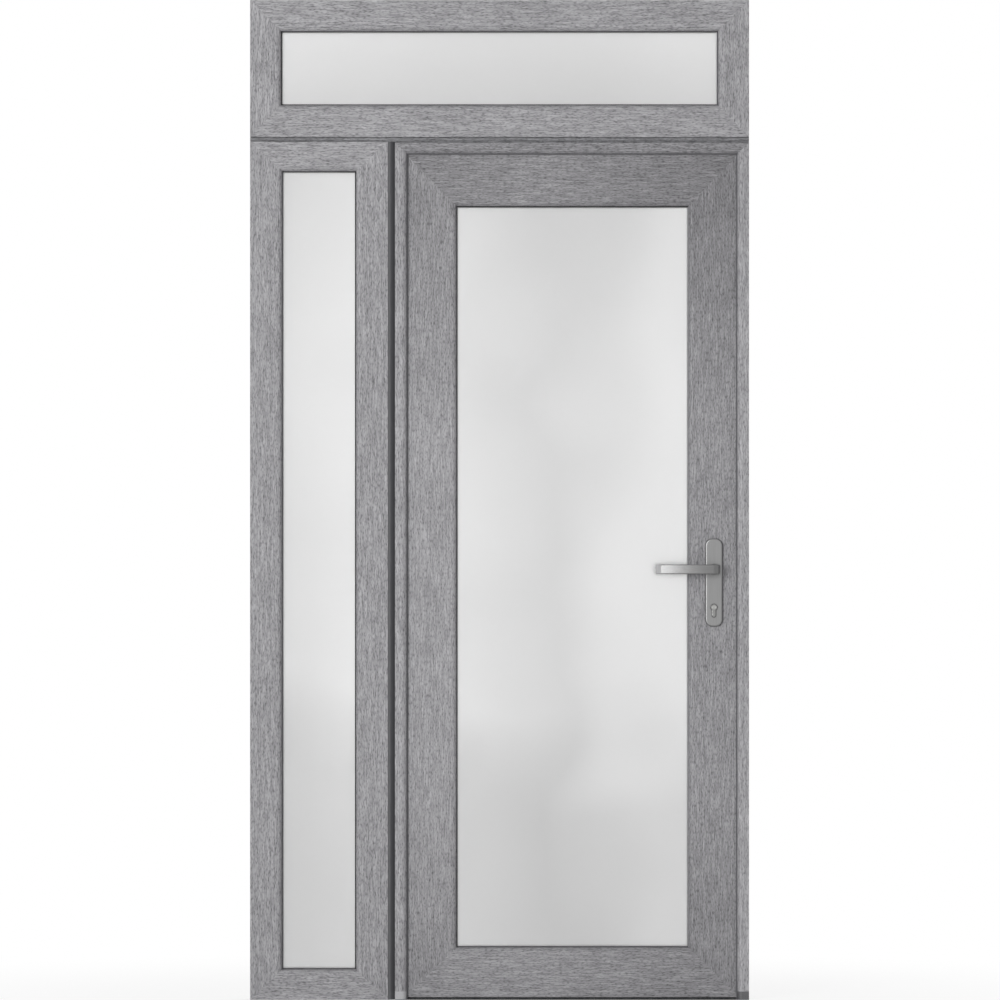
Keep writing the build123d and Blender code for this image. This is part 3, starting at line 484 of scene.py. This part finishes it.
def solids(name):
    """Lowest and highest corner of each separate solid in a CAD node, from the lowest up."""
    mesh = bmesh.new()
    mesh.from_mesh(nodes[name].data)
    bmesh.ops.remove_doubles(mesh, verts=mesh.verts, dist=0.01 * MM)
    left = set(mesh.verts)
    boxes = []
    while left:
        front = [left.pop()]
        points = []
        while front:
            vertex = front.pop()
            points.append(vertex.co.copy())
            beside = {edge.other_vert(vertex) for edge in vertex.link_edges} & left
            left -= beside
            front.extend(beside)
        boxes.append((Vector(map(min, zip(*points))), Vector(map(max, zip(*points)))))
    mesh.free()
    return sorted(boxes, key=lambda box: box[0].z)


def add_screw(mesh, place, facing):
    """Adds one low screw head with a sunk cross, its middle at place and its face towards facing."""
    turn = facing.to_track_quat("Z", "X").to_matrix().to_4x4()
    turn.translation = place
    corners = []
    for quarter in range(4):
        around = Matrix.Rotation(quarter * math.pi / 2, 3, "Z")
        corners += [around @ Vector(point) for point in (
            (CROSS_HALF, CROSS_HALF, 0), (CROSS_HALF, CROSS_REACH, 0), (-CROSS_HALF, CROSS_REACH, 0))]
    angles = [2 * math.pi * i / SCREW_SIDES for i in range(SCREW_SIDES)]
    rim = [Vector((math.cos(a), math.sin(a), 0)) * SCREW_RADIUS for a in angles]

    def ring(points, height):
        """Points of the head at one height, placed."""
        return [mesh.verts.new(turn @ (point + Vector((0, 0, height)))) for point in points]

    def wall(lower, upper):
        """Faces between two rings of as many points."""
        for i, vertex in enumerate(lower):
            following = (i + 1) % len(lower)
            mesh.faces.new((vertex, lower[following], upper[following], upper[i]))

    foot = ring(rim, 0.0)
    edge = ring(rim, SCREW_RIM)
    cross = ring(corners, SCREW_RISE)
    floor = ring(corners, SCREW_RISE - CROSS_DEPTH)
    wall(foot, edge)
    wall(cross, floor)
    mesh.faces.new(floor)
    outline = [mesh.edges.get((ring_of[i - 1], ring_of[i])) for ring_of in (edge, cross)
               for i in range(len(ring_of))]
    bmesh.ops.triangle_fill(mesh, edges=outline, use_beauty=True)


def screws(name, body, places):
    """One piece with a screw head at each place and facing."""
    mesh = bmesh.new()
    for place, facing in places:
        add_screw(mesh, place, facing)
    bmesh.ops.recalc_face_normals(mesh, faces=mesh.faces)
    data = bpy.data.meshes.new(name)
    mesh.to_mesh(data)
    mesh.free()
    data.materials.append(zinc)
    piece = bpy.data.objects.new(name, data)
    bpy.context.scene.collection.objects.link(piece)
    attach(piece, body)


# Screws of the hinges, both halves
to_right, to_left, up = Vector((1, 0, 0)), Vector((-1, 0, 0)), Vector((0, 0, 1))
rebate_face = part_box("strike_plates")[0].x
leaf_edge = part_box("hinge_stile")[0].x
hinge_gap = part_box("hinge_pins")[0].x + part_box("hinge_pins")[1].x - 2 * leaf_edge
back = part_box("hinge_jamb")[1].y
for half, body, face, facing in (("hinge_frame_plates", "frame", leaf_edge + hinge_gap, to_right),
                                 ("hinge_leaf_plates", "leaf", leaf_edge, to_left)):
    places = []
    for low, high in solids(half):
        for i, rise in enumerate(HINGE_SCREW_RISES):
            depth = HINGE_SCREW_DEPTHS[i % 2]
            places.append((Vector((face, back - depth, (low.z + high.z) / 2 + rise)), facing))
    screws(f"{half}_screws", body, places)

# Screws of the strikes, at both ends of each plate
places = []
for low, high in solids("strike_plates"):
    middle = (low.y + high.y) / 2
    for height in (low.z + STRIKE_SCREW_INSET, high.z - STRIKE_SCREW_INSET):
        places.append((Vector((rebate_face, middle, height)), to_left))
screws("strike_screws", "frame", places)

# Screws of the lock edge, on its sloping face
lock_edge = max((face for face in nodes["lock_faceplate"].data.polygons if face.normal.x > 0.9),
                key=lambda face: face.area)
low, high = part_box("lock_faceplate")
middle = lock_edge.center
screws("lock_edge_screws", "leaf", [
    (Vector((middle.x, middle.y, low.z + share * (high.z - low.z))), lock_edge.normal)
    for share in FACEPLATE_SCREW_SHARES])

# Screws of the threshold, inside the brush line
low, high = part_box("threshold")
step = (high.x - low.x - 2 * THRESHOLD_SCREW_INSET) / (THRESHOLD_SCREWS - 1)
screws("threshold_screws", "frame", [
    (Vector((low.x + THRESHOLD_SCREW_INSET + i * step, THRESHOLD_SCREW_Y, high.z)), up)
    for i in range(THRESHOLD_SCREWS)])


def soft_lamp(name, direction, distance, size, share):
    """A square lamp that gives a wall facing it this share of full white."""
    lamp = bpy.data.lights.new(name, "AREA")
    lamp.size = size
    lamp.energy = share * math.pi * math.pi * distance ** 2
    stand = bpy.data.objects.new(name, lamp)
    middle = Vector((0, 0, (cad_box[0][2] + cad_box[1][2]) / 2))
    stand.location = middle + Vector(direction).normalized() * distance
    stand.rotation_euler = (stand.location - middle).to_track_quat("Z", "Y").to_euler()
    bpy.context.scene.collection.objects.link(stand)


def seen_ray(tree):
    """1 for rays that show the surroundings: straight to the camera, in gloss or through glass."""
    path = add_node(tree, "ShaderNodeLightPath", {})
    gloss = add_node(tree, "ShaderNodeMath", {
        0: path.outputs["Is Camera Ray"], 1: path.outputs["Is Glossy Ray"]}, operation="MAXIMUM")
    seen = add_node(tree, "ShaderNodeMath", {
        0: gloss.outputs["Value"], 1: path.outputs["Is Transmission Ray"]}, operation="MAXIMUM")
    return seen.outputs["Value"]


# Studio: a white surround, a soft lamp in front at the left and a weaker one behind
world = bpy.data.worlds.new("white_studio")
bpy.context.scene.world = world
world.use_nodes = True
sky = world.node_tree
sky.nodes.clear()
light = add_node(sky, "ShaderNodeBackground", {"Color": colour("#ffffff"), "Strength": AMBIENT})
white = add_node(sky, "ShaderNodeBackground", {"Color": colour("#ffffff"), "Strength": 1.0})
surround = add_node(sky, "ShaderNodeMixShader", {
    0: seen_ray(sky), 1: light.outputs["Background"], 2: white.outputs["Background"]})
add_node(sky, "ShaderNodeOutputWorld", {"Surface": surround.outputs["Shader"]})
soft_lamp("key_lamp", KEY_DIRECTION, KEY_DISTANCE, KEY_SIZE, KEY_SHARE)
soft_lamp("back_lamp", BACK_DIRECTION, BACK_DISTANCE, BACK_SIZE, BACK_SHARE)

# Floor: pale and diffuse near the object, white further out
paint = bpy.data.materials.new("pale_floor_paint")
paint.use_nodes = True
ground = paint.node_tree
ground.nodes.clear()
spot = add_node(ground, "ShaderNodeTexCoord", {}).outputs["Object"]
reach = add_node(ground, "ShaderNodeVectorMath", {0: spot}, operation="LENGTH").outputs["Value"]
glow = add_node(ground, "ShaderNodeMapRange", {
    "Value": reach, "From Min": SHADOW_NEAR, "From Max": SHADOW_FAR, "To Min": FLOOR_GLOW, "To Max": 1.0},
    interpolation_type="SMOOTHSTEP").outputs["Result"]
shown = add_node(ground, "ShaderNodeMath", {0: glow, 1: seen_ray(ground)}, operation="MULTIPLY")
matt = add_node(ground, "ShaderNodeBsdfDiffuse", {"Color": colour(FLOOR_TONE)})
lit = add_node(ground, "ShaderNodeEmission", {"Color": colour("#ffffff"), "Strength": 1.0})
laid = add_node(ground, "ShaderNodeMixShader", {
    0: shown.outputs["Value"], 1: matt.outputs["BSDF"], 2: lit.outputs["Emission"]})
add_node(ground, "ShaderNodeOutputMaterial", {"Surface": laid.outputs["Shader"]})
sheet = bpy.data.meshes.new("studio_floor")
rim = FLOOR_REACH / 2
sheet.from_pydata([(-rim, -rim, 0), (rim, -rim, 0), (rim, rim, 0), (-rim, rim, 0)], [], [(0, 1, 2, 3)])
sheet.materials.append(paint)
floor = bpy.data.objects.new("studio_floor", sheet)
bpy.context.scene.collection.objects.link(floor)

# Camera: straight in front, far back, framing the height of the object
height = cad_box[1][2] - cad_box[0][2]
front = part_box("hinge_jamb")[0].y
view = bpy.data.cameras.new("front_camera")
view.lens = LENS
view.sensor_width = SENSOR
view.clip_end = FAR_CLIP
tripod = bpy.data.objects.new("front_camera", view)
tripod.location = (AIM_X, front - height * LENS / SENSOR, cad_box[0][2] + height / 2)
tripod.rotation_euler = (math.pi / 2, 0, 0)
bpy.context.scene.collection.objects.link(tripod)
bpy.context.scene.camera = tripod
bpy.context.scene.view_settings.view_transform = "Standard"
